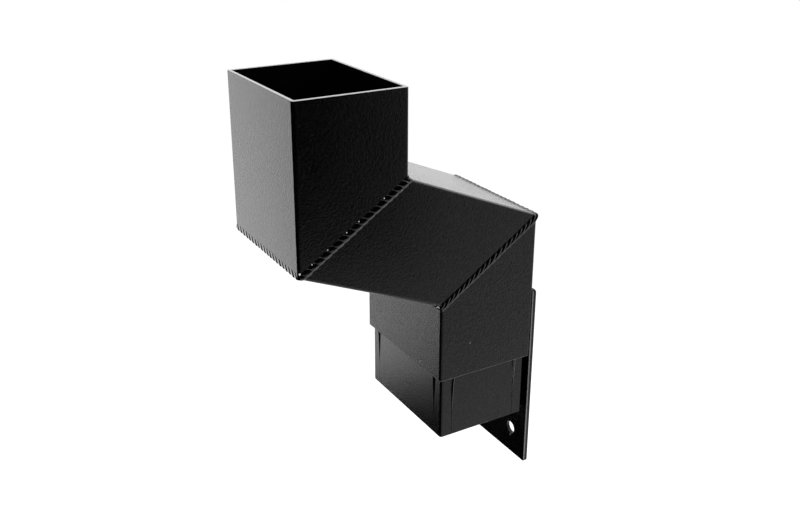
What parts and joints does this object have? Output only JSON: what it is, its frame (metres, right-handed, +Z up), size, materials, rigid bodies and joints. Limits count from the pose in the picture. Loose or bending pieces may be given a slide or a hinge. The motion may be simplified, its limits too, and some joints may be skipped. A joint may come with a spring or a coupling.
{
  "type": "downpipe offset",
  "caption": "Black coated rectangular aluminium downpipe offset: mitred swan neck with welded seams, slit spigot sleeve below and a flat screw-on back plate.",
  "frame": {"origin": "on the back face of the wall plate, midway between its two screw holes", "axes": "+Z up along the two vertical lengths, +Y into the wall, +X along the wall"},
  "size_m": [0.103, 0.18, 0.2929],
  "materials": {
    "tube_coating": "fine-textured satin powder coat",
    "sleeve_coating": "fine-textured satin powder coat, thinner at the slit edges",
    "plate_coating": "fine-textured satin powder coat",
    "weld_coating": "rippled weld bead under the same powder coat"
  },
  "bodies": {
    "root": {"inlet_tube": "tube_coating", "middle_tube": "tube_coating", "outlet_tube": "tube_coating", "spigot_sleeve": "sleeve_coating", "wall_plate": "plate_coating", "upper_weld_bead": "weld_coating", "lower_weld_bead": "weld_coating"}
  },
  "joints": []
}
